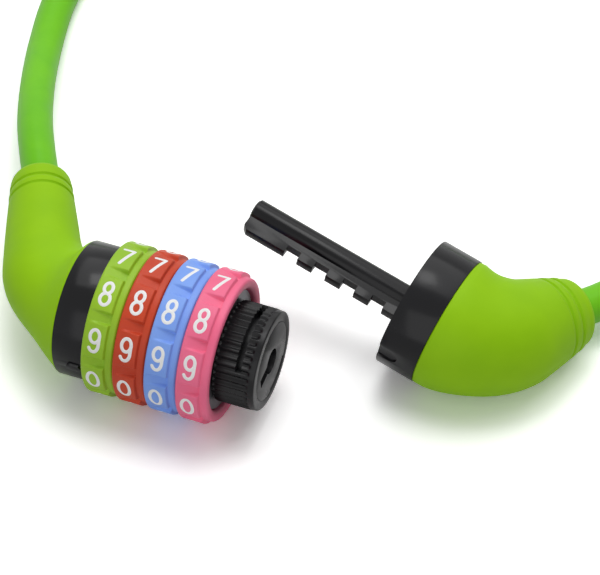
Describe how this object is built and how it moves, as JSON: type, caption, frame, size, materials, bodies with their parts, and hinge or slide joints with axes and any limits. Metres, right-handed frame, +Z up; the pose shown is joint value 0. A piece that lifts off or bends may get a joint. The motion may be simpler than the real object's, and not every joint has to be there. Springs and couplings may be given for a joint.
{
  "type": "combination cable lock",
  "caption": "Looped cable lock with a dial combination barrel at one end and a toothed bolt in a cupped plug at the other, shown open.",
  "frame": {"origin": "centre of the bolt hole where it opens on the lock's end face", "axes": "+X along the lock's axis out of the bolt hole, +Z up from the surface that it lies on, +Y away from the numbers and towards the cable's loop"},
  "size_m": [0.198, 0.234, 0.036],
  "materials": {
    "lime_rubber": "soft matte moulding",
    "black_plastic": "glossy",
    "ribbed_plastic": "satin",
    "dial_green": "satin",
    "dial_red": "satin",
    "dial_blue": "satin",
    "dial_pink": "satin",
    "cable_green": "smooth jacket over steel strand",
    "bolt_black": "black oxide",
    "zinc": "cast zinc alloy",
    "steel": "turned",
    "plate_grey": "satin",
    "brass": "turned"
  },
  "bodies": {
    "lock_body": {"lock_boot": "lime_rubber", "lock_collar": "black_plastic", "lock_housing": "zinc", "lock_core": "ribbed_plastic", "core_screws": "steel", "base_washer": "steel", "spacer_1": "steel", "spacer_2": "steel", "spacer_3": "steel", "end_plate": "plate_grey", "detent_balls": "steel", "detent_springs": "steel", "wave_washer": "steel", "stop_pin": "steel", "lock_ferrule": "zinc", "lock_ferrule_pin": "steel", "cable_lock_side": "cable_green"},
    "reset_sleeve": {"reset_sleeve": "ribbed_plastic"},
    "dial_1": {"dial_1": "dial_green", "code_ring_1": "brass"},
    "dial_2": {"dial_2": "dial_red", "code_ring_2": "brass"},
    "dial_3": {"dial_3": "dial_blue", "code_ring_3": "brass"},
    "dial_4": {"dial_4": "dial_pink", "code_ring_4": "brass"},
    "cable_far": {"cable_middle": "cable_green"},
    "cable_near": {"cable_plug_side": "cable_green"},
    "plug": {"plug_boot": "lime_rubber", "plug_collar": "black_plastic", "plug_housing": "zinc", "lock_bolt": "bolt_black", "bolt_pin": "steel", "plug_ferrule": "zinc", "plug_ferrule_pin": "steel"}
  },
  "joints": [
    {"name": "dial_1_turn", "type": "hinge", "parent": "lock_body", "child": "dial_1", "pos_m": [0, 0, 0], "axis": [1, 0, 0], "continuous": true},
    {"name": "dial_2_turn", "type": "hinge", "parent": "lock_body", "child": "dial_2", "pos_m": [0, 0, 0], "axis": [1, 0, 0], "continuous": true},
    {"name": "dial_3_turn", "type": "hinge", "parent": "lock_body", "child": "dial_3", "pos_m": [0, 0, 0], "axis": [1, 0, 0], "continuous": true},
    {"name": "dial_4_turn", "type": "hinge", "parent": "lock_body", "child": "dial_4", "pos_m": [0, 0, 0], "axis": [1, 0, 0], "continuous": true},
    {"name": "reset_turn", "type": "hinge", "parent": "lock_body", "child": "reset_sleeve", "pos_m": [0, 0, 0], "axis": [1, 0, 0], "range_deg": [-90, 0]},
    {"name": "plug_carry", "type": "slide", "parent": "lock_body", "child": "cable_far", "axis": [0.801, -0.5986, -0.007], "range_m": [0, 0.04744], "deforming": ["cable_middle"]},
    {"name": "plug_align", "type": "hinge", "parent": "cable_far", "child": "cable_near", "pos_m": [0.024, 0.0284, 0.00033], "axis": [0, -0.8, 0.6], "range_deg": [0, 15.2], "deforming": ["cable_plug_side"]},
    {"name": "plug_insert", "type": "slide", "parent": "cable_near", "child": "plug", "axis": [-0.9659, 0.1553, 0.2071], "range_m": [0, 0.0706]}
  ],
  "couplings": [
    {"joint": "plug_align", "follows": "plug_carry", "rad_per_m": 5.5184}
  ]
}
